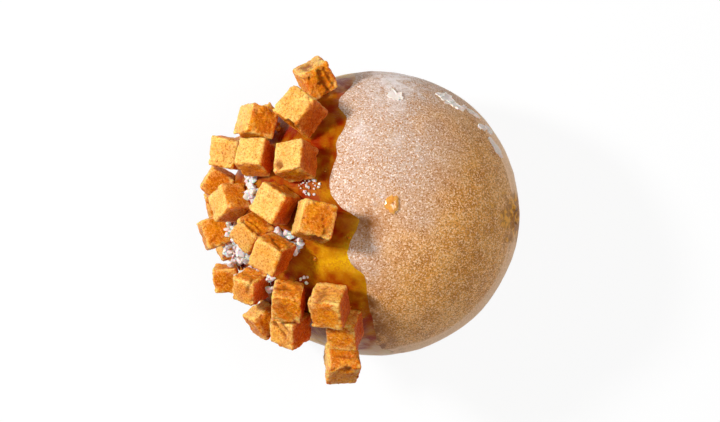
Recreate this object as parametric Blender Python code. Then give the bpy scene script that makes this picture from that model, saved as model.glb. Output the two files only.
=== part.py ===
"""Salted caramel doughnut: a round filled doughnut with caramel fudge cubes set on one side.

The doughnut rests on a small flat spot at the origin, with +Z up. The cubes sit on its -X side.
All lengths are in metres.
"""
import math
import random

import bmesh
import bpy
import numpy as np
from mathutils import Euler, Matrix, Vector, noise

MM = 0.001

# Driving dimensions of the doughnut
DIAMETER = 78 * MM
HEIGHT = 67 * MM
REST_RADIUS = 13.5 * MM
UNDULATION = 0.35 * MM
SEGMENTS = 60
RINGS = 32

# The hole that the filling went in by, at the doughnut's side
HOLE_RADIUS = 1.9 * MM
HOLE_DEPTH = 3.2 * MM
HOLE_ALONG = math.radians(-1.5)
HOLE_ABOVE = math.radians(13)

# How the cubes are cut and set
ROUNDING = 0.085
CORNER_LOSS = 0.07
GAP = 0.3 * MM
DROP_FROM = 90 * MM
SLIDE_FROM = 0.8
STEP = 0.15 * MM

RADIUS = DIAMETER / 2
HALF_HEIGHT = HEIGHT / (1 + math.sqrt(1 - (REST_RADIUS / RADIUS) ** 2))
CENTRE = Vector((0, 0, HEIGHT - HALF_HEIGHT))

# Fudge cubes, outermost first, as they were thrown on: name, place seen from above in mm,
# height of the centre in mm, turn about X, Y and Z in degrees, edge in mm.
# A cube with a height slides out at that height until it is clear of the doughnut's side.
# A cube with None drops from above until it touches something.
CUBES = [
    ("fudge_outer_a", (-42.6, 8.2), 36, (10, 5, -31), 7.8),
    ("fudge_outer_b", (-42.9, -4.8), 38, (0, 8, 20), 8.6),
    ("fudge_outer_c", (-39.8, -17.2), 38, (15, -10, 5), 7.4),
    ("fudge_outer_d", (-37.6, 15.2), 47, (5, -22, -12), 8.6),
    ("fudge_foot", (-9.5, -39.6), 49.5, (-32, 8, 2), 9.2),
    ("fudge_low_left", (-31, -29), 43, (25, 15, 40), 8.0),
    ("fudge_low_right", (-23.5, -31), None, (35, -35, -20), 8.6),
    ("fudge_crown", (-16.8, 36.4), None, (20, 10, 30), 9.0),
    ("fudge_back_left", (-32.6, 24.4), None, (-15, 25, -20), 8.8),
    ("fudge_rim_a", (-40, 2.9), None, (-30, 35, 0), 8.2),
    ("fudge_rim_b", (-34.4, -19.8), None, (35, -30, -20), 7.8),
    ("fudge_rim_c", (-33.6, -5.2), None, (-25, 40, 25), 8.2),
    ("fudge_rim_d", (-32.8, 15.2), None, (-25, -25, 0), 8.6),
    ("fudge_step_a", (-23.9, -23.6), None, (35, -5, -5), 8.8),
    ("fudge_step_b", (-20.6, 27.4), None, (-5, -35, -35), 9.8),
    ("fudge_mid_a", (-28.2, -11), None, (25, -20, -30), 8.8),
    ("fudge_mid_b", (-27.4, 2.8), None, (15, -25, -35), 9.4),
    ("fudge_mid_c", (-21.9, 14), None, (-25, -30, 10), 9.2),
    ("fudge_front_a", (-8.8, -31.1), None, (35, -15, -5), 8.8),
    ("fudge_front_b", (-12.9, -24.6), None, (40, -15, -5), 9.4),
    ("fudge_lone", (-16.8, -2), None, (-10, 10, -15), 10),
    ("fudge_under_a", (-35, 16), 15, (12, 10, 20), 7.4),
    ("fudge_under_b", (-38, 2), 24, (10, 5, 12), 7.2),
    ("fudge_under_c", (-37, -7.5), 14, (30, 15, 10), 7.8),
    ("fudge_under_d", (-36.5, -16), 24, (15, 5, 25), 7.0),
    ("fudge_under_e", (-30, 24.5), 14, (10, 25, 45), 7.6),
    ("fudge_under_f", (-23, -30), 13, (-15, 10, 35), 7.6),
]

FUDGE_TINTS = [(0.66, 0.27, 0.03), (0.72, 0.32, 0.05), (0.60, 0.22, 0.02)]


def clear_scene():
    for thing in list(bpy.data.objects):
        bpy.data.objects.remove(thing, do_unlink=True)


def make_material(name, colour, roughness):
    material = bpy.data.materials.new(name)
    material.use_nodes = True
    shader = material.node_tree.nodes["Principled BSDF"]
    shader.inputs["Base Color"].default_value = (*colour, 1)
    shader.inputs["Roughness"].default_value = roughness
    shader.inputs["Metallic"].default_value = 0
    return material


def add_object(name, mesh_tools, material):
    """A new object from a bmesh, smooth on its round places and sharp on its edges."""
    mesh = bpy.data.meshes.new(name)
    mesh_tools.to_mesh(mesh)
    mesh_tools.free()
    mesh.materials.append(material)
    mesh.shade_smooth()
    mesh.set_sharp_from_angle(angle=math.radians(35))
    made = bpy.data.objects.new(name, mesh)
    bpy.context.collection.objects.link(made)
    return made


def doughnut_point(direction):
    """Where a line from the doughnut's centre in this direction meets its slightly uneven skin."""
    on_skin = Vector((direction.x * RADIUS, direction.y * RADIUS, direction.z * HALF_HEIGHT))
    swell = noise.noise(direction * 1.6 + Vector((3.1, 0.4, 7.7)))
    return CENTRE + on_skin + direction * UNDULATION * swell


def make_doughnut(material):
    body = bmesh.new()
    bmesh.ops.create_uvsphere(body, u_segments=SEGMENTS, v_segments=RINGS, radius=1)
    for vertex in body.verts:
        vertex.co = doughnut_point(vertex.co.normalized())
    cut = bmesh.ops.bisect_plane(
        body, geom=body.verts[:] + body.edges[:] + body.faces[:],
        plane_co=(0, 0, 0), plane_no=(0, 0, -1), clear_outer=True)
    rim = [edge for edge in cut["geom_cut"] if isinstance(edge, bmesh.types.BMEdge)]
    bmesh.ops.contextual_create(body, geom=rim)
    bmesh.ops.recalc_face_normals(body, faces=body.faces)
    doughnut = add_object("doughnut", body, material)
    cut_filling_hole(doughnut)
    return doughnut


def cut_filling_hole(doughnut):
    """A small tapered pit with a round bottom, cut square to the doughnut's side."""
    out = Vector((math.cos(HOLE_ALONG) * math.cos(HOLE_ABOVE),
                  math.sin(HOLE_ALONG) * math.cos(HOLE_ABOVE),
                  math.sin(HOLE_ABOVE)))
    pit = bmesh.new()
    bmesh.ops.create_uvsphere(pit, u_segments=14, v_segments=8, radius=1)
    turn = out.to_track_quat("Z", "Y").to_matrix().to_4x4()
    size = Matrix.Diagonal((HOLE_RADIUS, HOLE_RADIUS, HOLE_DEPTH, 1))
    bmesh.ops.transform(pit, matrix=Matrix.Translation(doughnut_point(out)) @ turn @ size, verts=pit.verts)
    mesh = bpy.data.meshes.new("filling_hole_cutter")
    pit.to_mesh(mesh)
    pit.free()
    cutter = bpy.data.objects.new("filling_hole_cutter", mesh)
    bpy.context.collection.objects.link(cutter)
    cutter.hide_render = True
    cutter.display_type = "WIRE"
    hole = doughnut.modifiers.new("filling_hole", "BOOLEAN")
    hole.object = cutter
    hole.operation = "DIFFERENCE"


def box_samples():
    """Points spread over the faces of a cube of edge 2."""
    steps = np.linspace(-1, 1, 7)
    grid = np.array([(u, v) for u in steps for v in steps])
    side = np.ones((len(grid), 1))
    faces = [np.roll(np.hstack([grid, side * sign]), axis, axis=1) for axis in range(3) for sign in (-1, 1)]
    return np.vstack(faces)


def clears_doughnut(centre, turn, edge, samples):
    points = samples @ turn.T * (edge / 2) + centre - np.array(CENTRE)
    skin = 0.7 * UNDULATION + GAP
    reach = points / np.array([RADIUS + skin, RADIUS + skin, HALF_HEIGHT + skin])
    return (reach ** 2).sum(axis=1).min() > 1


def clears_box(centre_a, turn_a, edge_a, centre_b, turn_b, edge_b):
    """True if some axis shows a gap between two boxes: the separating axis test."""
    axes = [*turn_a.T, *turn_b.T]
    axes += [np.cross(a, b) for a in turn_a.T for b in turn_b.T]
    apart = centre_b - centre_a
    for axis in axes:
        length = np.linalg.norm(axis)
        if length < 1e-6:
            continue
        reach_a = np.abs(turn_a.T @ axis).sum() * edge_a / 2
        reach_b = np.abs(turn_b.T @ axis).sum() * edge_b / 2
        if abs(apart @ axis) > reach_a + reach_b + GAP * length:
            return True
    return False


def settle(place, height, turn, edge, samples, placed):
    """The cube's centre, moved in small steps: dropped, or slid out at its height, until it only just touches."""
    def is_free(centre):
        return clears_doughnut(centre, turn, edge, samples) and all(
            clears_box(centre, turn, edge, *other) for other in placed)

    if height is None:
        centre = np.array((*place, DROP_FROM))
        step = np.array((0, 0, -STEP))
        while is_free(centre + step):
            centre = centre + step
        return centre
    outward = place / np.linalg.norm(place)
    centre = np.array((*outward * RADIUS * SLIDE_FROM, height))
    while not is_free(centre):
        centre = centre + np.array((*outward, 0)) * STEP
    return centre


def make_cube(name, centre, turn, edge, material, chance):
    """A hand-cut cube: each corner is knocked in a little, and every edge is rounded."""
    cube = bmesh.new()
    bmesh.ops.create_cube(cube, size=edge)
    for corner in cube.verts:
        corner.co *= 1 - CORNER_LOSS * chance.random()
    bmesh.ops.bevel(cube, geom=cube.edges[:], offset=edge * ROUNDING, segments=2, profile=0.6, affect="EDGES")
    bmesh.ops.triangulate(cube, faces=cube.faces[:])
    fudge = add_object(name, cube, material)
    fudge.location = Vector(centre)
    fudge.rotation_euler = turn
    return fudge


def make_cubes():
    chance = random.Random(12)
    samples = box_samples()
    tints = [make_material(f"caramel_fudge_{i}", tint, 0.5) for i, tint in enumerate(FUDGE_TINTS)]
    placed = []
    for index, (name, place, height, degrees, edge) in enumerate(CUBES):
        euler = Euler([math.radians(angle) for angle in degrees])
        turn = np.array(euler.to_matrix())
        place = np.array(place) * MM
        height = None if height is None else height * MM
        centre = settle(place, height, turn, edge * MM, samples, placed)
        placed.append((centre, turn, edge * MM))
        make_cube(name, centre, euler, edge * MM, tints[index % len(tints)], chance)


clear_scene()
make_doughnut(make_material("glazed_dough", (0.52, 0.27, 0.11), 0.45))
make_cubes()
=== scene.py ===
"""The looks of the salted caramel doughnut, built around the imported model."""
import math
import random

import bmesh
import bpy
import numpy as np
from mathutils import Matrix, Vector
from mathutils.bvhtree import BVHTree


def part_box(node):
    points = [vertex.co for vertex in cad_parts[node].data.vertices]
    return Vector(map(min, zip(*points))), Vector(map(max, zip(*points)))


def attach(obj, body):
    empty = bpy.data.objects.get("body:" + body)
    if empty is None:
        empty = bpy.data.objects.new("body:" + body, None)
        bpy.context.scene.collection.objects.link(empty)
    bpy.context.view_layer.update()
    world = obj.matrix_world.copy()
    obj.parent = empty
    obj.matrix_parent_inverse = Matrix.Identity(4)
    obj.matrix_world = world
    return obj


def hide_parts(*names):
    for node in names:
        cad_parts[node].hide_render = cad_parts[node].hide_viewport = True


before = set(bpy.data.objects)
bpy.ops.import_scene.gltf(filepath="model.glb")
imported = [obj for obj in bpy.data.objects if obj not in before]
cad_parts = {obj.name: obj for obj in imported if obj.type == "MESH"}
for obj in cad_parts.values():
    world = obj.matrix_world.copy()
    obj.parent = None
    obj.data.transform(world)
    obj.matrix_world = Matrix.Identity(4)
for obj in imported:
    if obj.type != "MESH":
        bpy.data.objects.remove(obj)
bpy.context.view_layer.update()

MM = 0.001

# The doughnut's measures, from the frame; the flat resting spot leaves more of it above its centre
LOW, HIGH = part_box("doughnut")
RADIUS = (HIGH.y - LOW.y) / 2
CENTRE_BELOW_TOP = 0.515
CENTRE = np.array((0, 0, HIGH.z - (HIGH.z - LOW.z) * CENTRE_BELOW_TOP))
FUDGE_NODES = sorted(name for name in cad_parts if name.startswith("fudge"))

# Points of the grids: rings go from the -X pole, spokes go round the X axis
SKIN_RINGS, SKIN_SPOKES = 300, 310
SAUCE_RINGS, SAUCE_SPOKES = 120, 280
POLE_MARGIN = 0.004

# Where the sauce ends on the upper half: shares of the radius, (towards +Y, towards +X)
SAUCE_EDGE = [
    (-1.05, 0.30), (-0.97, 0.12), (-0.90, 0.02), (-0.80, -0.01), (-0.66, -0.04), (-0.50, -0.07),
    (-0.42, -0.09), (-0.36, -0.17), (-0.28, -0.21), (-0.20, -0.19), (-0.12, -0.15), (-0.04, -0.12),
    (0.04, -0.26), (0.13, -0.31), (0.25, -0.31), (0.37, -0.28), (0.48, -0.29), (0.58, -0.23),
    (0.66, -0.20), (0.73, -0.25), (0.80, -0.26), (0.88, -0.19), (0.97, -0.14), (1.05, -0.12),
]
SAUCE_EDGE_SHIFT = 0.012

# On the lower half the edge draws back by this share of the radius
SAUCE_REACH_UNDER = 0.42

# The sauce rounds off over its edge's width, dips into the skin there, and reaches into it below
SAUCE_THICKNESS = 0.8 * MM
SAUCE_EDGE_WIDTH = 5.5 * MM
SAUCE_EDGE_DIP = 0.18 * MM
SAUCE_UNDERLAP = 0.5 * MM

# The redder, darker caramel that pools by each cube, painted shadow as well, lies this far to its side away
# from the key lamp
POOL_AND_SHADOW_SHIFT = Vector((2.4, -0.3, 0)) * MM

# Whiter patches of painted highlight, the lamps' glints and sheen on the glaze; and brown patches, listed
# below:
# (x, y, size) in shares of the radius, and strength
PAINTED_GLINTS = [
    (0.02, 0.11, 0.035, 0.8), (-0.01, 0.05, 0.03, 0.7), (-0.02, -0.22, 0.045, 0.8),
    (0.13, 0.5, 0.05, 0.35), (0.0, -0.4, 0.04, 0.3), (-0.12, 0.55, 0.12, 0.3),
    (0.15, 0.93, 0.22, 0.6), (0.40, 0.82, 0.16, 0.4),
]
# The brown patches: the first two are painted shadow beside the cubes, the third lies near the -Y end, the
# last is the blister at the top
STAINS_AND_SHADOWS = [
    (-0.07, -0.08, 0.10, 1.1), (0.02, -0.78, 0.09, 0.9), (0.10, -0.90, 0.06, 0.6), (-0.06, 0.985, 0.045, 0.7),
]

# The filling hole, at the +X side; the crust round it reaches a little further down than up
HOLE_RISE = math.radians(13)
HOLE_DIRECTION = np.array((math.cos(HOLE_RISE), -0.026, math.sin(HOLE_RISE)))
HOLE_DEPTH, HOLE_RADIUS, HOLE_MOUTH_RADIUS = 3.2 * MM, 0.8 * MM, 2.2 * MM
HOLE_RIM_HEIGHT, HOLE_RIM_RADIUS, HOLE_RIM_WIDTH = 0.45 * MM, 2.7 * MM, 0.9 * MM
CRUST_RISE = math.radians(12)
CRUST_HALF_WIDTH, CRUST_HALF_HEIGHT = 7.2 * MM, 15 * MM


# ---------------------------------------------------------------- noise

def lattice(ix, iy, iz, seed):
    """A number from -1 to 1 for each whole-number point, the same each run."""
    n = (ix * 73856093) ^ (iy * 19349663) ^ (iz * 83492791) ^ (seed * 40503)
    n = (n ^ (n >> 13)) & 0xFFFFFFF
    n = (n * (n * n * 15731 + 789221) + 1376312589) & 0x7FFFFFFF
    return n / 1073741823.5 - 1


def noise(points, scale, seed=0, octaves=1):
    """Smooth noise from about -1 to 1 at each point; scale is the size of its features, in metres."""
    total = np.zeros(len(points))
    share = 1.0
    for octave in range(octaves):
        p = points / scale * 2 ** octave + 17.3 * octave
        whole = np.floor(p).astype(np.int64)
        f = p - whole
        u = f * f * (3 - 2 * f)
        value = 0
        for dx in (0, 1):
            for dy in (0, 1):
                for dz in (0, 1):
                    weight = (np.where(dx, u[:, 0], 1 - u[:, 0])
                              * np.where(dy, u[:, 1], 1 - u[:, 1])
                              * np.where(dz, u[:, 2], 1 - u[:, 2]))
                    value = value + weight * lattice(
                        whole[:, 0] + dx, whole[:, 1] + dy, whole[:, 2] + dz, seed + octave)
        total += value * share
        share *= 0.5
    return total


def smoothstep(low, high, x):
    """0 at low and 1 at high, with a soft start and end."""
    t = np.clip((x - low) / (high - low), 0, 1)
    return t * t * (3 - 2 * t)


# ---------------------------------------------------------------- mesh helpers

def blurred(grid, times):
    """A grid of numbers, each one drawn towards its neighbours; it closes round its spokes."""
    for _ in range(times):
        around = (np.roll(grid, 1, 1) + np.roll(grid, -1, 1) + 2 * grid) / 4
        padded = np.pad(around, ((1, 1), (0, 0)), mode="edge")
        grid = (padded[:-2] + padded[2:] + 2 * around) / 4
    return grid


def add_mesh(name, points, faces, material, smooth=True):
    mesh = bpy.data.meshes.new(name)
    mesh.from_pydata([tuple(p) for p in points], [], faces)
    mesh.validate()
    mesh.update()
    if smooth:
        mesh.shade_smooth()
    mesh.materials.append(material)
    made = bpy.data.objects.new(name, mesh)
    bpy.context.scene.collection.objects.link(made)
    return made


def set_field(obj, name, values):
    """Stores one number at each vertex, for the material to read."""
    field = obj.data.attributes.new(name, "FLOAT", "POINT")
    field.data.foreach_set("value", np.asarray(values, np.float32))


def vectors_of(mesh, name):
    """A vector of each vertex: "co", its place, or "normal"."""
    flat = np.zeros(len(mesh.vertices) * 3)
    mesh.vertices.foreach_get(name, flat)
    return flat.reshape(-1, 3)


def tree_of(*meshes):
    """One search tree over several meshes."""
    points, faces = [], []
    for mesh in meshes:
        first = len(points)
        points += [v.co.copy() for v in mesh.vertices]
        faces += [[first + i for i in poly.vertices] for poly in mesh.polygons]
    return BVHTree.FromPolygons(points, faces)


def grid_faces(rings, spokes, first=0, flip=False):
    """Quads of a grid that closes round its spokes; ring 0 and the last ring are open."""
    faces = []
    for r in range(rings - 1):
        for s in range(spokes):
            t = (s + 1) % spokes
            quad = (first + r * spokes + s, first + r * spokes + t,
                    first + (r + 1) * spokes + t, first + (r + 1) * spokes + s)
            faces.append(quad[::-1] if flip else quad)
    return faces


def direction(theta, psi):
    """theta is the angle from -X; psi turns round the X axis from +Z towards +Y."""
    return np.stack([-np.cos(theta) * np.ones_like(psi),
                     np.sin(theta) * np.sin(psi),
                     np.sin(theta) * np.cos(psi)], axis=-1)


# ---------------------------------------------------------------- the doughnut's skin

skin_tree = tree_of(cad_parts["doughnut"].data)


def skin_reach(directions):
    """Distance from the centre to the CAD skin, facets and all, along each direction."""
    centre = Vector(CENTRE)
    reach = np.zeros(len(directions))
    for i, d in enumerate(directions):
        reach[i] = skin_tree.ray_cast(centre, Vector(d))[3] or RADIUS
    return reach


THETA = np.linspace(POLE_MARGIN, math.pi - POLE_MARGIN, SKIN_RINGS)
PSI = np.linspace(0, 2 * math.pi, SKIN_SPOKES, endpoint=False)


def smooth_reach():
    """The same distance at each point of the skin's grid, with the facets smoothed away."""
    grid = direction(*np.meshgrid(THETA, PSI, indexing="ij"))
    return blurred(skin_reach(grid.reshape(-1, 3)).reshape(SKIN_RINGS, SKIN_SPOKES), 24)


REACH = smooth_reach()


def skin_at(theta, psi):
    """Points on the smooth skin, between the grid's own points."""
    row = np.clip((theta - THETA[0]) / (THETA[-1] - THETA[0]) * (SKIN_RINGS - 1), 0, SKIN_RINGS - 1.001)
    column = (psi / (2 * math.pi) * SKIN_SPOKES) % SKIN_SPOKES
    r0, c0 = row.astype(int), column.astype(int)
    fr, fc = row - r0, column - c0
    c1 = (c0 + 1) % SKIN_SPOKES
    reach = ((1 - fr) * ((1 - fc) * REACH[r0, c0] + fc * REACH[r0, c1])
             + fr * ((1 - fc) * REACH[r0 + 1, c0] + fc * REACH[r0 + 1, c1]))
    return CENTRE + direction(theta, psi) * reach[..., None]


def sauce_edge_x(y, psi):
    """Where the sauce ends, along X, at a place Y on the meridian psi."""
    across, along = np.array(SAUCE_EDGE).T
    x = (np.interp(y / RADIUS, across, along) + SAUCE_EDGE_SHIFT) * RADIUS
    below = np.clip(-np.cos(psi), 0, 1)
    waves = 2 * MM * np.sin(5 * psi + 1)
    return x - below * SAUCE_REACH_UNDER * RADIUS + below * waves


def sauce_limit(psi):
    """theta at which the sauce ends on each meridian, found by halving."""
    low, high = np.full_like(psi, 0.3), np.full_like(psi, 2.4)
    for _ in range(30):
        middle = (low + high) / 2
        p = skin_at(middle, psi)
        inside = p[:, 0] < sauce_edge_x(p[:, 1], psi)
        low, high = np.where(inside, middle, low), np.where(inside, high, middle)
    return (low + high) / 2


FINE_PSI = np.linspace(0, 2 * math.pi, SAUCE_SPOKES * 4, endpoint=False)


def smooth_limit():
    """The sauce's end on each fine meridian, without the corners of its outline."""
    limit = sauce_limit(FINE_PSI)
    for _ in range(10):
        limit = (np.roll(limit, 1) + np.roll(limit, -1) + 2 * limit) / 4
    return limit


FINE_LIMIT = smooth_limit()


def limit_at(psi):
    """theta at which the sauce ends, on any meridian."""
    full_turn = 2 * math.pi
    return np.interp(psi % full_turn, np.append(FINE_PSI, full_turn), np.append(FINE_LIMIT, FINE_LIMIT[0]))


# ---------------------------------------------------------------- materials

def new_material(name):
    material = bpy.data.materials.new(name)
    material.use_nodes = True
    tree = material.node_tree
    return material, tree, tree.nodes["Principled BSDF"]


def link(tree, source, target):
    tree.links.new(source, target)


def coordinates(tree):
    return tree.nodes.new("ShaderNodeTexCoord").outputs["Object"]


def noise_node(tree, size, detail=3, roughness=0.55, distortion=0.0):
    """Noise whose features are about size metres."""
    node = tree.nodes.new("ShaderNodeTexNoise")
    node.inputs["Scale"].default_value = 1 / size
    node.inputs["Detail"].default_value = detail
    node.inputs["Roughness"].default_value = roughness
    node.inputs["Distortion"].default_value = distortion
    link(tree, coordinates(tree), node.inputs["Vector"])
    return node.outputs["Fac"]


def field_node(tree, name):
    node = tree.nodes.new("ShaderNodeAttribute")
    node.attribute_name = name
    return node.outputs["Fac"]


def math_node(tree, operation, a, b, clamp=False):
    node = tree.nodes.new("ShaderNodeMath")
    node.operation = operation
    node.use_clamp = clamp
    for socket, value in zip(node.inputs, (a, b)):
        if isinstance(value, (int, float)):
            socket.default_value = value
        else:
            link(tree, value, socket)
    return node.outputs[0]


def spread(tree, value, low, high, to_low=0.0, to_high=1.0):
    """Maps low..high to to_low..to_high, clamped."""
    node = tree.nodes.new("ShaderNodeMapRange")
    node.interpolation_type = "SMOOTHSTEP"
    link(tree, value, node.inputs["Value"])
    for name, number in (("From Min", low), ("From Max", high), ("To Min", to_low), ("To Max", to_high)):
        node.inputs[name].default_value = number
    return node.outputs["Result"]


def mix(tree, factor, a, b, blend="MIX"):
    """Colour a where the factor is 0 and b where it is 1; each may be a colour or a socket."""
    node = tree.nodes.new("ShaderNodeMix")
    node.data_type = "RGBA"
    node.blend_type = blend
    sockets = {s.name: s for s in node.inputs if s.enabled and s.type == "RGBA"}
    for socket, value in ((sockets["A"], a), (sockets["B"], b)):
        if isinstance(value, tuple):
            socket.default_value = (*value, 1)
        else:
            link(tree, value, socket)
    if isinstance(factor, (int, float)):
        node.inputs[0].default_value = factor
    else:
        link(tree, factor, node.inputs[0])
    return [s for s in node.outputs if s.enabled][0]


def bump(tree, shader, height, distance, strength=1.0, normal=None):
    """Fine relief on the shader, on top of the relief that normal already holds."""
    node = tree.nodes.new("ShaderNodeBump")
    node.inputs["Distance"].default_value = distance
    node.inputs["Strength"].default_value = strength
    link(tree, height, node.inputs["Height"])
    if normal is not None:
        link(tree, normal, node.inputs["Normal"])
    link(tree, node.outputs["Normal"], shader.inputs["Normal"])
    return node.outputs["Normal"]


def glazed_material():
    """Fried dough under a thin sugared glaze: brown mottling, a pinkish glaze layer whitened by painted sheen
    and glints, and a sugary grain.
    """
    material, tree, shader = new_material("glazed_dough")
    mottle = noise_node(tree, 3.2 * MM, 5, 0.66)
    patches = noise_node(tree, 10 * MM, 3, 0.5)
    grain = noise_node(tree, 0.46 * MM, 3, 0.8)
    freckle = noise_node(tree, 0.5 * MM, 2, 0.75)
    # How white the glaze is: thicker glaze, and painted sheen and glints
    thickness = field_node(tree, "veil_and_sheen")

    # The fried crust: mottled, dark in its pores, and pale in a belt where it floated in the oil
    crust = mix(tree, spread(tree, mottle, 0.36, 0.64), (0.54, 0.195, 0.022), (0.82, 0.355, 0.058))
    crust = mix(tree, spread(tree, patches, 0.42, 0.66, 0, 0.5), crust, (0.86, 0.43, 0.11))
    crust = mix(tree, spread(tree, grain, 0.51, 0.42, 0, 0.8), crust, (0.30, 0.095, 0.012))
    crust = mix(tree, spread(tree, freckle, 0.52, 0.60, 0, 0.8), crust, (1.0, 0.68, 0.38))
    crust = mix(tree, field_node(tree, "belt"), crust, (0.95, 0.64, 0.40))

    # The glaze over it: thinner in the pores, white where it is thickest and where sheen and glints are
    # painted, with sparkling specks that are partly painted glints
    unevenness = math_node(tree, "MULTIPLY", math_node(tree, "SUBTRACT", mottle, 0.5), 0.75)
    veil_and_sheen = math_node(tree, "ADD", thickness, unevenness)
    veil_and_sheen = math_node(tree, "MULTIPLY", veil_and_sheen, spread(tree, grain, 0.40, 0.54), clamp=True)
    colour = mix(tree, veil_and_sheen, crust, (0.565, 0.41, 0.325))
    # Whitest at the patches of painted glints
    colour = mix(tree, spread(tree, thickness, 1.0, 1.6, 0, 0.8), colour, (0.90, 0.82, 0.80))
    # White specks, strongest under the painted sheen: sugar grains and painted glints
    sugar_and_glints = math_node(tree, "MULTIPLY", spread(tree, freckle, 0.56, 0.64), thickness, clamp=True)
    sugar_and_glints = math_node(tree, "MULTIPLY", sugar_and_glints, 0.75)
    colour = mix(tree, sugar_and_glints, colour, (0.95, 0.86, 0.82))

    # Brown patches, stains and painted shadow, the crust round the filling hole, and the hole, near-black
    # with painted shade
    colour = mix(tree, field_node(tree, "stain_and_shadow"), colour, (0.27, 0.085, 0.010))
    crumb = spread(tree, noise_node(tree, 2.4 * MM, 4, 0.65), 0.46, 0.60)
    baked = mix(tree, crumb, (0.38, 0.135, 0.008), (0.80, 0.37, 0.035))
    colour = mix(tree, field_node(tree, "baked"), colour, baked)
    colour = mix(tree, field_node(tree, "hole"), colour, (0.07, 0.014, 0.002))

    link(tree, colour, shader.inputs["Base Color"])
    link(tree, spread(tree, grain, 0.3, 0.7, 0.62, 0.34), shader.inputs["Roughness"])
    shader.inputs["Specular IOR Level"].default_value = 0.25
    shader.inputs["Specular Tint"].default_value = (1, 0.85, 0.7, 1)
    shader.inputs["Subsurface Weight"].default_value = 0.1
    shader.inputs["Subsurface Radius"].default_value = (1.0, 0.45, 0.2)
    shader.inputs["Subsurface Scale"].default_value = 1.0 * MM
    rough = bump(tree, shader, grain, 0.16 * MM, 0.8)
    bump(tree, shader, mottle, 0.3 * MM, 0.5, rough)
    return material


def sauce_material():
    """Amber caramel, satin and half clear: redder and darker where it pools by the cubes, with painted shadow
    there, pale where it thins out over glaze.
    """
    material, tree, shader = new_material("caramel_sauce")
    swirl = noise_node(tree, 5 * MM, 3, 0.5, 0.6)
    grain = noise_node(tree, 0.6 * MM, 2, 0.6)
    colour = mix(tree, spread(tree, swirl, 0.35, 0.65), (0.56, 0.22, 0.002), (0.72, 0.39, 0.004))
    colour = mix(tree, spread(tree, grain, 0.5, 0.72, 0, 0.35), colour, (0.90, 0.55, 0.05))
    gritty = math_node(tree, "MULTIPLY", spread(tree, swirl, 0.50, 0.60), spread(tree, grain, 0.46, 0.56))
    gritty = math_node(tree, "MULTIPLY", gritty, 0.6)
    colour = mix(tree, gritty, colour, (0.50, 0.14, 0.004))
    # Dark red on each cube's side away from the key lamp: pooled caramel and painted shadow
    colour = mix(tree, field_node(tree, "deep"), colour, (0.25, 0.012, 0.0004))
    colour = mix(tree, field_node(tree, "pale"), colour, (0.64, 0.40, 0.22))
    link(tree, colour, shader.inputs["Base Color"])
    shader.inputs["Roughness"].default_value = 0.36
    shader.inputs["Subsurface Weight"].default_value = 0.4
    shader.inputs["Subsurface Radius"].default_value = (1.0, 0.25, 0.04)
    shader.inputs["Subsurface Scale"].default_value = 2.2 * MM
    shader.inputs["Specular IOR Level"].default_value = 0.2
    shader.inputs["Specular Tint"].default_value = (1, 0.5, 0.12, 1)
    rough = bump(tree, shader, noise_node(tree, 1.3 * MM, 2, 0.5), 0.15 * MM, 0.5)
    bump(tree, shader, grain, 0.2 * MM, 0.9, rough)
    return material


def fudge_material():
    """Caramel fudge: sugary grain, deep orange within, paler on faces towards the key lamp (painted light),
    darker red away from it (painted shade), with painted highlight on its rubbed edges and painted shade in
    its grooves.
    """
    material, tree, shader = new_material("caramel_fudge")
    cloud = noise_node(tree, 4 * MM, 3, 0.55)
    grain = noise_node(tree, 0.55 * MM, 4, 0.85)
    pits = noise_node(tree, 0.8 * MM, 2, 0.6)
    colour = mix(tree, spread(tree, cloud, 0.35, 0.68), (0.66, 0.165, 0.0015), (0.82, 0.29, 0.003))
    # Pale on the faces towards the key lamp: painted light
    colour = mix(tree, field_node(tree, "painted_light"), colour, (0.88, 0.56, 0.15))
    # Paler on the edges: painted highlight, with some wear
    colour = mix(tree, field_node(tree, "edge_wear_and_highlight"), colour, (0.96, 0.66, 0.20))
    colour = mix(tree, spread(tree, grain, 0.52, 0.38, 0, 1.0), colour, (0.70, 0.42, 0.25), "MULTIPLY")
    colour = mix(tree, spread(tree, grain, 0.54, 0.68, 0, 0.5), colour, (0.96, 0.74, 0.34))
    colour = mix(tree, spread(tree, pits, 0.41, 0.28, 0, 0.7), colour, (0.55, 0.25, 0.12), "MULTIPLY")
    # Darker red on the faces away from the key lamp: painted shade
    colour = mix(tree, field_node(tree, "painted_shade"), colour, (0.90, 0.27, 0.12), "MULTIPLY")
    # Dark red in the grooves and pits: painted shade
    colour = mix(tree, field_node(tree, "cut"), colour, (0.24, 0.03, 0.001))
    link(tree, colour, shader.inputs["Base Color"])
    link(tree, spread(tree, grain, 0.3, 0.7, 0.52, 0.36), shader.inputs["Roughness"])
    shader.inputs["Subsurface Weight"].default_value = 0.45
    shader.inputs["Subsurface Radius"].default_value = (1.0, 0.22, 0.03)
    shader.inputs["Subsurface Scale"].default_value = 2.2 * MM
    shader.inputs["Specular IOR Level"].default_value = 0.22
    shader.inputs["Specular Tint"].default_value = (1, 0.7, 0.3, 1)
    rough = bump(tree, shader, grain, 0.22 * MM, 1.0)
    bump(tree, shader, pits, 0.25 * MM, 0.8, rough)
    return material


def salt_material():
    """Coarse sea salt: milky crystals, a little pink."""
    material, tree, shader = new_material("sea_salt")
    cloud = noise_node(tree, 0.8 * MM, 2, 0.5)
    link(tree, mix(tree, cloud, (0.74, 0.61, 0.55), (0.93, 0.87, 0.84)), shader.inputs["Base Color"])
    shader.inputs["Roughness"].default_value = 0.25
    shader.inputs["IOR"].default_value = 1.54
    shader.inputs["Subsurface Weight"].default_value = 0.6
    shader.inputs["Subsurface Scale"].default_value = 1.0 * MM
    bump(tree, shader, cloud, 0.1 * MM, 0.5)
    return material


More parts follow.
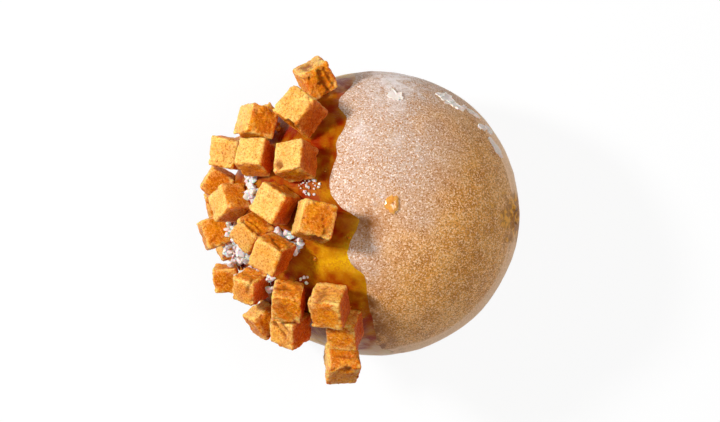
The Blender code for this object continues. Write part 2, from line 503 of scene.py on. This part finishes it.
def flake_material():
    """Dried glaze that has lifted: chalky white, a little pink."""
    material, tree, shader = new_material("glaze_flake")
    cloud = noise_node(tree, 1.2 * MM, 3, 0.6)
    link(tree, mix(tree, cloud, (0.72, 0.58, 0.49), (0.92, 0.85, 0.81)), shader.inputs["Base Color"])
    shader.inputs["Roughness"].default_value = 0.45
    shader.inputs["Subsurface Weight"].default_value = 0.2
    shader.inputs["Subsurface Scale"].default_value = 0.8 * MM
    bump(tree, shader, cloud, 0.1 * MM, 0.5)
    return material


def drop_material():
    """Wet caramel, glossier than the sauce."""
    material, tree, shader = new_material("caramel_drop")
    colour = mix(tree, noise_node(tree, 1.0 * MM, 2, 0.5), (0.58, 0.20, 0.01), (0.84, 0.45, 0.12))
    link(tree, colour, shader.inputs["Base Color"])
    shader.inputs["Roughness"].default_value = 0.12
    shader.inputs["Subsurface Weight"].default_value = 0.4
    shader.inputs["Subsurface Radius"].default_value = (1.0, 0.3, 0.05)
    shader.inputs["Subsurface Scale"].default_value = 1.0 * MM
    return material


# ---------------------------------------------------------------- pieces

def edge_distance(theta, psi):
    """How far a place on the skin lies past the sauce's edge, in metres; negative under the sauce."""
    return (theta - limit_at(psi)) * RADIUS


def soft_patches(points, patches):
    """How strongly the soft round patches cover each point of the upper half."""
    total = np.zeros(len(points))
    for x, y, size, strength in patches:
        away = np.hypot(points[:, 0] / RADIUS - x, points[:, 1] / RADIUS - y) / size
        total += strength * np.exp(-away ** 2)
    return total * (points[:, 2] > CENTRE[2])


def skin_fields(points, out, past_sauce, ragged):
    """How much veil_and_sheen, belt, stain_and_shadow, crust and hole there is at each place on the skin; the
    first holds painted sheen and glints, the third painted shadow.
    """
    height = (points[:, 2] - CENTRE[2]) / (HIGH.z - CENTRE[2])
    x, y = points[:, 0] / RADIUS, points[:, 1] / RADIUS
    drift = 0.30 * noise(points, 13 * MM, 21, 3)
    # Whiter towards -X, +Y and higher up: partly thicker glaze, partly painted sheen of the key lamp; then
    # the patches of painted glints
    veil_and_sheen = smoothstep(0.66, -0.34, x - 0.55 * y + drift) * smoothstep(-0.9, 0.2, height)
    veil_and_sheen = veil_and_sheen + soft_patches(points, PAINTED_GLINTS) * (0.6 + 0.6 * noise(points, 1.4 * MM, 22, 2))
    low_right = smoothstep(-0.35, 0.25, x - y)
    band = smoothstep(0.33, 0.27, height) * smoothstep(-0.35, 0.0, height) * 0.55
    line = np.exp(-((height - 0.31 - 0.03 * noise(points, 9 * MM, 31)) / 0.018) ** 2)
    belt = (band + 0.6 * line) * low_right
    ragged_stain_and_shadow = smoothstep(-0.3, 0.5, noise(points, 1.6 * MM, 41, 3))
    # Brown just past the sauce's edge towards -Y
    stain_and_shadow = np.exp(-np.maximum(past_sauce, 0) / (1.5 * MM)) * ragged_stain_and_shadow * smoothstep(0.0, -0.6, y)
    # Then the brown patches, two of which are painted shadow beside the cubes
    stain_and_shadow = np.maximum(stain_and_shadow, soft_patches(points, STAINS_AND_SHADOWS) * (0.5 + ragged_stain_and_shadow * 0.5))
    side = (out[:, 1] - HOLE_DIRECTION[1]) * RADIUS / CRUST_HALF_WIDTH
    rise = (np.arcsin(out[:, 2]) - CRUST_RISE) * RADIUS / CRUST_HALF_HEIGHT
    crust = np.hypot(side, rise) + 0.35 * noise(points, 2.4 * MM, 51, 3)
    baked = (1 - smoothstep(0.55, 1.05, crust)) * (out[:, 0] > 0.3)
    # Near-black in the pit and a little past its mouth: painted shade of the hole
    inside = 1 - smoothstep(1.4 * MM, 3.0 * MM, ragged)
    return {"veil_and_sheen": np.clip(veil_and_sheen, 0, 1.6), "belt": belt, "stain_and_shadow": stain_and_shadow, "baked": baked, "hole": inside}


def make_skin():
    """The doughnut's skin: a grid round the X axis, a little lumpy, pressed in at the filling hole."""
    theta, psi = (a.ravel() for a in np.meshgrid(THETA, PSI, indexing="ij"))
    points = skin_at(theta, psi)
    out = direction(theta, psi)
    lumps = 0.16 * MM * noise(points, 9 * MM, 3, 2) + 0.05 * MM * noise(points, 2.2 * MM, 5, 2)
    past_sauce = edge_distance(theta, psi)
    from_hole = np.arccos(np.clip(out @ (HOLE_DIRECTION / np.linalg.norm(HOLE_DIRECTION)), -1, 1)) * RADIUS
    ragged = from_hole * (1 + 0.22 * noise(points, 1.6 * MM, 8, 2))
    pit = HOLE_DEPTH * (1 - smoothstep(HOLE_RADIUS, HOLE_MOUTH_RADIUS, ragged))
    rim = HOLE_RIM_HEIGHT * np.exp(-((ragged - HOLE_RIM_RADIUS) / HOLE_RIM_WIDTH) ** 2)
    crumbly = 0.22 * MM * noise(points, 0.9 * MM, 9, 2) * (1 - smoothstep(3 * MM, 6.5 * MM, ragged))
    points = points + out * (lumps + rim + crumbly - pit)[:, None]
    points[:, 2] = np.maximum(points[:, 2], 0)
    faces = grid_faces(SKIN_RINGS, SKIN_SPOKES, flip=True)
    first_pole, last_pole = len(points), len(points) + 1
    last_ring = (SKIN_RINGS - 1) * SKIN_SPOKES
    for s in range(SKIN_SPOKES):
        t = (s + 1) % SKIN_SPOKES
        faces.append((first_pole, s, t))
        faces.append((last_pole, last_ring + t, last_ring + s))
    points = np.vstack([points, points[:SKIN_SPOKES].mean(0), points[-SKIN_SPOKES:].mean(0)])
    skin = add_mesh("glazed_skin", points, faces, glazed_material())
    for name, values in skin_fields(points[:-2], out, past_sauce, ragged).items():
        set_field(skin, name, np.append(values, values[[0, -1]]))
    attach(skin, "root")
    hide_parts("doughnut")


# The ways towards the key lamp, where the cubes' faces get painted light, and away from it, where they get
# painted shade
PAINTED_LIGHT_WAY = np.array((-0.72, 0.38, 0.58))
PAINTED_SHADE_WAY = np.array((0.88, -0.20, -0.05))

# Grooves, pits and notches on single cubes, in mm: the node, two ends as seen from above and
# measured from the cube's middle, width, depth
MARKS = [
    ("fudge_crown", (0.8, 1.9), (3.9, -3.9), 0.5, 1.0),
    ("fudge_crown", (-3.4, 3.2), (-2.0, 3.9), 0.9, 0.7),
    ("fudge_crown", (2.6, 2.2), (4.6, -1.5), 0.35, 0.6),
    ("fudge_mid_c", (-4.8, -0.8), (-4.2, -1.2), 0.9, 0.8),
    ("fudge_step_a", (-2.5, -0.8), (0.8, -4.4), 0.8, 0.3),
    ("fudge_step_a", (-3.8, 3.9), (0.5, 3.6), 0.6, 0.6),
    ("fudge_low_right", (-4.5, 1.6), (-1.3, -2.7), 0.35, 0.7),
    ("fudge_low_right", (-3.2, 2.2), (-0.6, -1.2), 0.3, 0.4),
    ("fudge_foot", (1.4, -1.0), (1.9, -2.0), 0.8, 0.9),
    ("fudge_foot", (-1.0, 2.0), (3.2, 1.6), 0.5, 0.4),
    ("fudge_lone", (2.6, -1.4), (2.7, -3.3), 0.5, 0.5),
    ("fudge_lone", (-0.6, -4.9), (1.6, -5.0), 0.7, 0.6),
    ("fudge_rim_c", (-2.1, 2.9), (2.6, -0.8), 0.45, 0.6),
    ("fudge_rim_c", (-1.0, 3.4), (3.2, 0.2), 0.3, 0.4),
    ("fudge_front_b", (-3.6, 1.0), (-1.2, 3.6), 0.9, 0.5),
    ("fudge_rim_b", (0.6, 2.4), (-1.2, -1.5), 0.4, 0.5),
    ("fudge_step_b", (-3.6, -2.6), (-0.4, -5.0), 0.4, 0.7),
    ("fudge_mid_a", (0.4, 4.0), (2.4, 1.8), 0.4, 0.4),
]


def marks_on(node, points, normals, middle):
    """How deep the node's own grooves and pits go at each point, in metres."""
    depth = np.zeros(len(points))
    flat = (points[:, :2] - middle[:2]) / MM
    for _, start, end, width, deep in (mark for mark in MARKS if mark[0] == node):
        start, end = np.array(start), np.array(end)
        along = np.clip((flat - start) @ (end - start) / ((end - start) @ (end - start)), 0, 1)
        away = np.linalg.norm(flat - start - along[:, None] * (end - start), axis=1)
        away = away * (1 + 0.8 * noise(points, 1.3 * MM, 71, 2)) + 0.25 * noise(points, 0.8 * MM, 72, 2)
        depth = np.maximum(depth, deep * MM * np.exp(-(away / width) ** 2) * (normals[:, 2] > 0.05))
    return depth


FUDGE_VOXEL = 0.3 * MM


def make_fudge(node, material, seed):
    """One cube as it was cut: the CAD cube remeshed finely, its faces rough and its edges chipped."""
    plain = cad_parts[node].data.copy()
    cube = bpy.data.objects.new(node + "_cut", plain)
    bpy.context.scene.collection.objects.link(cube)
    remesh = cube.modifiers.new("remesh", "REMESH")
    remesh.mode = "VOXEL"
    remesh.voxel_size = FUDGE_VOXEL
    bpy.context.view_layer.update()
    evaluated = cube.evaluated_get(bpy.context.evaluated_depsgraph_get())
    mesh = bpy.data.meshes.new_from_object(evaluated)
    cube.modifiers.clear()
    cube.data = mesh
    bpy.data.meshes.remove(plain)
    points = vectors_of(mesh, "co")
    normals = vectors_of(mesh, "normal")
    middle = points.mean(0)
    away = np.linalg.norm(points - middle, axis=1)
    edge = smoothstep(1.15, 1.5, away / away.min())
    chips = smoothstep(0.2, 0.75, noise(points, 2.2 * MM, seed, 2)) * edge
    dents = smoothstep(0.35, 0.85, noise(points, 3.2 * MM, seed + 7, 2))
    marks = marks_on(node, points, normals, middle)
    move = (-0.55 * MM * chips - 0.3 * MM * dents - marks
            + 0.10 * MM * noise(points, 1.4 * MM, seed + 3, 2)
            + 0.11 * MM * noise(points, 0.75 * MM, seed + 5, 2) - 0.05 * MM)
    points = points + normals * move[:, None]
    mesh.vertices.foreach_set("co", points.ravel())
    mesh.update()
    mesh.shade_smooth()
    mesh.materials.clear()
    mesh.materials.append(material)
    # Paler edges: painted highlight, with some wear
    edge_wear_and_highlight = edge * (0.35 + 0.7 * noise(points, 1.0 * MM, seed + 9, 2))
    # Faces towards the key lamp: painted light
    painted_light = smoothstep(0.58, 0.86, normals @ PAINTED_LIGHT_WAY)
    painted_light = painted_light * (0.85 + 0.35 * noise(points, 2.5 * MM, seed + 11, 2))
    set_field(cube, "edge_wear_and_highlight", np.clip(edge_wear_and_highlight, 0, 0.75))
    set_field(cube, "painted_light", np.clip(painted_light, 0, 1))
    # Faces away from the key lamp, darker red: painted shade
    set_field(cube, "painted_shade", smoothstep(0.25, 0.85, normals @ PAINTED_SHADE_WAY) * 0.85)
    # Grooves and pits, dark red: painted shade
    set_field(cube, "cut", np.clip(marks / (0.8 * MM), 0, 0.8))
    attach(cube, "root")
    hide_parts(node)
    return cube


# How high the sauce climbs a cube that it touches, and how soon that dies away beside the cube
CLIMB_HEIGHT, CLIMB_FADE = 0.9 * MM, 1.3 * MM

# The sauce fills the space under a cube up to this height
FILLED_GAP = 2.0 * MM


def climb_at(tree, base, out):
    """How much higher than its own thickness the sauce stands at each place, next to or under a cube."""
    climb = np.zeros(len(base))
    for i, (point, way) in enumerate(zip(base, out)):
        start, way = Vector(point), Vector(way)
        near = tree.find_nearest(start + way * SAUCE_THICKNESS, 6 * MM)[3]
        if near is not None:
            climb[i] = CLIMB_HEIGHT * math.exp(-near / CLIMB_FADE)
        over = tree.ray_cast(start, way, 5 * MM)[3]
        if over is not None and over < FILLED_GAP:
            climb[i] = max(climb[i], over - SAUCE_THICKNESS * 0.8)
    return blurred(climb.reshape(SAUCE_RINGS, SAUCE_SPOKES), 2).ravel()


def make_sauce(cubes):
    """The caramel: a closed layer over the skin that thins to a round edge and climbs the cubes."""
    psi = np.linspace(0, 2 * math.pi, SAUCE_SPOKES, endpoint=False)
    share = np.linspace(POLE_MARGIN, 1, SAUCE_RINGS) ** 0.82
    share_grid, psi_grid = (a.ravel() for a in np.meshgrid(share, psi, indexing="ij"))
    theta = share_grid * limit_at(psi_grid)
    base = skin_at(theta, psi_grid)
    out = direction(theta, psi_grid)
    inward = -edge_distance(theta, psi_grid)
    rounded = smoothstep(0, 1, inward / SAUCE_EDGE_WIDTH)
    waves = 1 + 0.30 * noise(base, 7 * MM, 61, 2) + 0.10 * noise(base, 2.2 * MM, 62, 2)
    tree = tree_of(*[cube.data for cube in cubes])
    climb = climb_at(tree, base, out)

    # The layer is thin where it has run down towards the -Y and +Y ends
    limb = smoothstep(0.74, 0.95, np.abs(base[:, 1]) / RADIUS) * smoothstep(-0.6, -0.35, base[:, 0] / RADIUS)
    thick = rounded * (SAUCE_THICKNESS * waves * (1 - 0.8 * limb) + climb)
    thick = thick - SAUCE_EDGE_DIP * (1 - smoothstep(0, 1.6 * MM, inward))
    top = base + out * thick[:, None]
    bottom = base - out * SAUCE_UNDERLAP
    count = SAUCE_RINGS * SAUCE_SPOKES
    faces = grid_faces(SAUCE_RINGS, SAUCE_SPOKES, flip=True) + grid_faces(SAUCE_RINGS, SAUCE_SPOKES, count)
    edge = (SAUCE_RINGS - 1) * SAUCE_SPOKES
    top_pole, bottom_pole = 2 * count, 2 * count + 1
    for s in range(SAUCE_SPOKES):
        t = (s + 1) % SAUCE_SPOKES
        faces.append((edge + s, edge + t, count + edge + t, count + edge + s))
        faces.append((top_pole, s, t))
        faces.append((bottom_pole, count + t, count + s))
    points = np.vstack([top, bottom, top[:SAUCE_SPOKES].mean(0), bottom[:SAUCE_SPOKES].mean(0)])
    sauce = add_mesh("caramel_sauce", points, faces, sauce_material())
    # Nearness to the cubes from a place moved back towards the key lamp, so the dark red of pooled caramel
    # and painted shadow lies on each cube's far side
    nearness = np.array([tree.find_nearest(Vector(p) - POOL_AND_SHADOW_SHIFT)[3] for p in top])
    deep = smoothstep(7.0 * MM, 2.0 * MM, nearness) * (0.85 + 0.3 * noise(base, 2 * MM, 64, 2))
    patchy = smoothstep(-0.45, 0.25, noise(base, 3 * MM, 63, 3))
    for name, values in (("deep", np.clip(deep, 0, 1)), ("pale", limb * patchy * 0.85)):
        set_field(sauce, name, np.concatenate([values, values, values[[0, 0]]]))
    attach(sauce, "root")
    return sauce


# Patches of salt: middle in shares of the radius, half sizes and grain size in mm, number of grains
SALT = [
    ((-0.862, 0.165), (2.0, 3.4), 2.3, 30), ((-0.985, -0.225), (3.4, 6.0), 2.2, 170),
    ((-0.851, -0.423), (2.6, 2.0), 2.0, 26), ((-0.733, -0.485), (2.7, 2.3), 1.9, 34),
    ((-0.682, -0.126), (0.6, 0.6), 3.0, 4), ((-0.595, -0.206), (3.2, 2.8), 2.1, 56),
    ((-0.462, 0.178), (2.8, 2.2), 0.8, 34), ((-0.495, -0.456), (0.9, 1.2), 1.1, 4),
    ((-1.10, 0.035), (1.2, 1.2), 1.0, 6), ((-0.774, -0.600), (1.2, 1.8), 1.0, 7),
    ((-0.545, -0.07), (0.8, 1.2), 0.8, 5), ((-0.80, 0.30), (1.2, 0.9), 0.9, 4),
    ((-0.88, -0.10), (1.4, 1.6), 1.1, 8),
]

# Lumps of broken fudge: middle in shares of the radius, size in mm
LUMPS = [
    ((-0.71, 0.575), 3.0), ((-0.925, 0.07), 2.6), ((-0.975, 0.50), 1.9), ((-0.64, 0.845), 3.4),
    ((-0.53, 0.885), 2.6), ((-0.20, -0.16), 1.0), ((-0.43, -0.30), 0.9), ((-0.36, 0.30), 0.7),
    ((-0.30, -0.62), 1.0), ((-0.285, -0.665), 1.1),
]


def crystal(middle, size, chance):
    """A broken crystal: the hull of points thrown about a lump, its points and triangles."""
    made = bmesh.new()
    for _ in range(16):
        way = Vector((chance.gauss(0, 1), chance.gauss(0, 1), chance.gauss(0, 1))).normalized()
        reach = size / 2 * chance.uniform(0.75, 1.1)
        made.verts.new((way.x * reach, way.y * reach * chance.uniform(0.8, 1), way.z * reach))
    hull = bmesh.ops.convex_hull(made, input=made.verts)
    bmesh.ops.delete(made, geom=hull["geom_interior"], context="VERTS")
    bmesh.ops.bevel(made, geom=made.edges[:], offset=size * 0.05, segments=1, affect="EDGES")
    bmesh.ops.triangulate(made, faces=made.faces[:])
    made.verts.index_update()
    angle = chance.uniform(0, 6.28)
    axis = Vector((chance.gauss(0, 1), chance.gauss(0, 1), 1)).normalized()
    turn = Matrix.Rotation(angle, 3, axis)
    points = [turn @ v.co + middle for v in made.verts]
    faces = [[v.index for v in face.verts] for face in made.faces]
    made.free()
    return points, faces


def join_parts(name, parts, material, smooth=False):
    """One mesh of many small ones, each given as its points and faces."""
    points, faces = [], []
    for part_points, part_faces in parts:
        first = len(points)
        points += part_points
        faces += [[first + i for i in face] for face in part_faces]
    return add_mesh(name, points, faces, material, smooth)


# Places well outside the doughnut, from which things are dropped or thrown onto it
DROP_HEIGHT = 0.2
THROW_DISTANCE = 0.1


def land(tree, x, y):
    """Where something dropped at (x, y) comes to rest, and the way out of the surface there.

    What would miss the doughnut, or land near its widest line, comes in from the side instead.
    """
    place, normal, _, _ = tree.ray_cast(Vector((x, y, DROP_HEIGHT)), Vector((0, 0, -1)))
    if place is None or place.z < CENTRE[2] + 2 * MM:
        start = Vector((x, y, CENTRE[2] + 14 * MM)) * 1.2
        place, normal, _, _ = tree.ray_cast(start, (Vector(CENTRE) - start).normalized())
    return place, normal


# Salt heaps up higher at the rim, which begins at this share of the radius
HEAP_AT_RIM, HEAP, RIM = 4.0 * MM, 1.4 * MM, 0.93
STRAY_GRAINS = 60


def make_salt(sauce, cubes):
    """The patches of salt, then single grains strewn over the sauce on the -X side and below it."""
    chance = random.Random(5)
    sauce_tree = tree_of(sauce.data)
    cube_tree = tree_of(*[cube.data for cube in cubes])
    parts = []
    for (x, y), (half_x, half_y), size, number in SALT:
        for _ in range(number):
            turn, away = chance.uniform(0, 2 * math.pi), math.sqrt(chance.random())
            at_x = x * RADIUS + math.cos(turn) * away * half_x * MM
            at_y = y * RADIUS + math.sin(turn) * away * half_y * MM
            place, normal = land(sauce_tree, at_x, at_y)
            at_rim = at_x ** 2 + at_y ** 2 > (RIM * RADIUS) ** 2
            heap = (HEAP_AT_RIM if at_rim else HEAP) * chance.random()
            grain = size * MM * chance.uniform(0.65, 1.35)
            middle = place + normal * (grain * 0.3 + chance.choice((0, 0, heap * 0.5, heap)))
            near = cube_tree.find_nearest(middle)
            if (middle - near[0]).dot(near[1]) > grain * 0.2:
                parts.append(crystal(middle, grain, chance))
    for _ in range(STRAY_GRAINS):
        way = Vector((-1, chance.uniform(-0.9, 0.9), chance.uniform(-0.75, 0.2))).normalized()
        place, normal, _, _ = sauce_tree.ray_cast(Vector(CENTRE) + way * THROW_DISTANCE, -way)
        grain = MM * chance.uniform(0.8, 1.7)
        if place is not None and (place + normal * grain - cube_tree.find_nearest(place)[0]).length > grain:
            parts.append(crystal(place + normal * grain * 0.3, grain, chance))
    salt = join_parts("salt_grains", parts, salt_material())
    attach(salt, "root")


CRUMBS_THROWN = 420
CRUMB_REACH = 2.2 * MM


def make_crumbs(sauce, cubes, material):
    """The broken lumps, then fine crumbs, which stay only close to a cube."""
    chance = random.Random(9)
    tree = tree_of(sauce.data)
    cube_tree = tree_of(*[cube.data for cube in cubes])
    parts = []
    for (x, y), size in LUMPS:
        place, normal = land(tree, x * RADIUS, y * RADIUS)
        for _ in range(3 + int(size * 2)):
            shift = Vector((chance.gauss(0, 1), chance.gauss(0, 1), chance.gauss(0, 1))) * size * 0.33 * MM
            middle = place + normal * size * 0.4 * MM + shift
            parts.append(crystal(middle, size * MM * chance.uniform(0.45, 0.9), chance))
    for _ in range(CRUMBS_THROWN):
        way = Vector((chance.uniform(-1, -0.12), chance.uniform(-0.9, 0.9), chance.uniform(-0.5, 1)))
        way = way.normalized()
        place, normal, _, _ = tree.ray_cast(Vector(CENTRE) + way * THROW_DISTANCE, -way)
        if place is None or normal.dot(way) < 0.3:
            continue
        near = (place - cube_tree.find_nearest(place)[0]).length
        if near < CRUMB_REACH and chance.random() < 0.75:
            parts.append(crystal(place, MM * chance.uniform(0.25, 0.7), chance))
    crumbs = join_parts("fudge_crumbs", parts, material)
    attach(crumbs, "root")


# Lifted flakes of glaze: middle in shares of the radius, half sizes in mm, turn in degrees
FLAKES = [
    ((0.124, 0.81), (1.4, 1.9), 30), ((0.475, 0.80), (1.7, 1.9), -20), ((0.53, 0.755), (2.3, 1.4), -40),
    ((0.43, 0.82), (1.3, 0.8), 10), ((0.715, 0.605), (1.3, 1.0), -35), ((0.775, 0.575), (0.9, 1.4), 20),
    ((0.815, 0.46), (1.1, 2.6), 15), ((0.66, 0.70), (2.2, 0.7), -45), ((0.60, 0.735), (0.8, 0.6), 0),
]
FLAKE_LIFT, FLAKE_CURL = 0.308 * MM, 0.16 * MM

# How far the flakes and the drop reach into the skin
UNDER_SKIN = 0.3 * MM


def skin_frame(x, y):
    """The CAD skin's place above (x, y), the way out of it, and two ways along it."""
    place, _ = land(skin_tree, x, y)
    out = (place - Vector(CENTRE)).normalized()
    along = Vector((0, 1, 0)).cross(out).normalized()
    return place, out, along, out.cross(along)


def dome(x, y, half_x, half_y, turn, height, seed, raggedness, rings=10, spokes=48):
    """A closed patch lying on the skin with a wavy outline.

    height(share, way) is its rise at each share of the way from its middle (0) to its rim (1).
    """
    place, out, along, up = skin_frame(x, y)
    angle = np.linspace(0, 2 * math.pi, spokes, endpoint=False)
    ring_way = np.stack([np.cos(angle), np.sin(angle), np.zeros(spokes)], 1)
    outline = 1 + raggedness * noise(ring_way * 2.2 + seed, 1.0, seed, 3)
    c, s = math.cos(math.radians(turn)), math.sin(math.radians(turn))
    top, low = [], []
    for ring in range(1, rings + 1):
        share = ring / rings
        for w, reach in zip(ring_way, outline):
            a, b = w[0] * half_x * reach * share, w[1] * half_y * reach * share
            at = place + along * (a * c - b * s) + up * (a * s + b * c)
            way = (at - Vector(CENTRE)).normalized()
            base = skin_tree.ray_cast(Vector(CENTRE), way)[0]
            top.append(base + way * height(share, w))
            low.append(base - way * UNDER_SKIN)
    points = top + low + [place + out * height(0, ring_way[0]), place - out * UNDER_SKIN]
    count = rings * spokes
    faces = [list(f) for f in grid_faces(rings, spokes) + grid_faces(rings, spokes, count, flip=True)]
    edge = (rings - 1) * spokes
    for i in range(spokes):
        j = (i + 1) % spokes
        faces.append([edge + i, count + edge + i, count + edge + j, edge + j])
        faces.append([2 * count, i, j])
        faces.append([2 * count + 1, count + j, count + i])
    return points, faces


def make_flakes():
    """Flakes of glaze that have lifted, curling up on one side."""
    def lift(share, way):
        return FLAKE_LIFT + FLAKE_CURL * share ** 2 * (1 + way[0])

    parts = [dome(x * RADIUS, y * RADIUS, a * MM, b * MM, turn, lift, 3 + i, 0.55)
             for i, ((x, y), (a, b), turn) in enumerate(FLAKES)]
    flakes = join_parts("glaze_flakes", parts, flake_material())
    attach(flakes, "root")


def make_drop():
    """A drop of caramel that fell on the glaze."""
    def rise(share, way):
        return (0.26 + 0.55 * math.sqrt(max(0, 1 - share ** 2))) * MM

    part = dome(0.10 * RADIUS, 0.066 * RADIUS, 1.9 * MM, 2.5 * MM, -12, rise, 40, 0.2)
    drop = join_parts("caramel_drop", [part], drop_material(), smooth=True)
    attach(drop, "root")


# ---------------------------------------------------------------- setting

# The doughnut's width as a share of the frame's, and its centre's shift from the frame's middle
FRAME_SHARE = 0.3947
SHIFT_RIGHT, SHIFT_UP = 0.0242, -0.0032
CAMERA_DISTANCE = 1.2
FRAME_WIDTH = 2 * RADIUS / FRAME_SHARE
FLOOR_HALF_SIDE, FLOOR_GAP = 3, 0.2 * MM
FLOOR_GLOW = 0.9
AMBIENT = 0.08


def make_camera():
    """Straight above the doughnut."""
    data = bpy.data.cameras.new("camera")
    data.sensor_width = 36
    data.lens = data.sensor_width * CAMERA_DISTANCE / FRAME_WIDTH
    camera = bpy.data.objects.new("camera", data)
    camera.location = (-SHIFT_RIGHT * FRAME_WIDTH, -SHIFT_UP * FRAME_WIDTH, CENTRE[2] + CAMERA_DISTANCE)
    bpy.context.scene.collection.objects.link(camera)
    bpy.context.scene.camera = camera


def make_lamp(name, azimuth, elevation, distance, size, power):
    """A round lamp that points at the doughnut: angles in degrees, power in watts."""
    data = bpy.data.lights.new(name, "AREA")
    data.shape = "DISK"
    data.size = size
    data.energy = power
    lamp = bpy.data.objects.new(name, data)
    a, e = math.radians(azimuth), math.radians(elevation)
    away = Vector((math.cos(a) * math.cos(e), math.sin(a) * math.cos(e), math.sin(e)))
    lamp.location = Vector(CENTRE) + away * distance
    lamp.rotation_euler = (-away).to_track_quat("-Z", "Y").to_euler()
    bpy.context.scene.collection.objects.link(lamp)


def floor_material():
    """White for the camera and in reflections, with part of the object's shadow kept."""
    material, tree, shader = new_material("floor")
    shader.inputs["Base Color"].default_value = (0.85, 0.85, 0.85, 1)
    shader.inputs["Roughness"].default_value = 0.9
    glow = tree.nodes.new("ShaderNodeEmission")
    glow.inputs["Strength"].default_value = 1
    blend = tree.nodes.new("ShaderNodeMixShader")
    path = tree.nodes.new("ShaderNodeLightPath")
    reflected = math_node(tree, "MAXIMUM", path.outputs["Is Glossy Ray"], path.outputs["Is Transmission Ray"])
    seen = math_node(tree, "MAXIMUM", path.outputs["Is Camera Ray"], reflected)
    link(tree, math_node(tree, "MULTIPLY", seen, FLOOR_GLOW), blend.inputs[0])
    link(tree, shader.outputs[0], blend.inputs[1])
    link(tree, glow.outputs[0], blend.inputs[2])
    link(tree, blend.outputs[0], tree.nodes["Material Output"].inputs["Surface"])
    return material


def make_floor():
    """A wide floor just under the doughnut."""
    corners = ((-1, -1), (1, -1), (1, 1), (-1, 1))
    points = [(x * FLOOR_HALF_SIDE, y * FLOOR_HALF_SIDE, -FLOOR_GAP) for x, y in corners]
    floor = add_mesh("floor", points, [(0, 1, 2, 3)], floor_material(), smooth=False)


def make_world():
    """White for the camera, and a dim white light on everything else."""
    world = bpy.data.worlds.new("studio")
    bpy.context.scene.world = world
    world.use_nodes = True
    tree = world.node_tree
    background = tree.nodes["Background"]
    path = tree.nodes.new("ShaderNodeLightPath")
    for_camera = math_node(tree, "MULTIPLY", path.outputs["Is Camera Ray"], 1 - AMBIENT)
    level = math_node(tree, "ADD", AMBIENT, for_camera)
    background.inputs["Color"].default_value = (1, 1, 1, 1)
    link(tree, level, background.inputs["Strength"])


bpy.context.scene.view_settings.view_transform = "Standard"
make_camera()
make_world()
make_floor()
make_lamp("key", azimuth=161, elevation=44, distance=0.8, size=0.12, power=6.8)
make_lamp("fill", azimuth=0, elevation=74, distance=1.0, size=0.5, power=5.0)

make_skin()
fudge = fudge_material()
cut_cubes = [make_fudge(node, fudge, 100 + 20 * i) for i, node in enumerate(FUDGE_NODES)]
sauce = make_sauce(cut_cubes)
make_salt(sauce, cut_cubes)
make_crumbs(sauce, cut_cubes, fudge)
make_flakes()
make_drop()
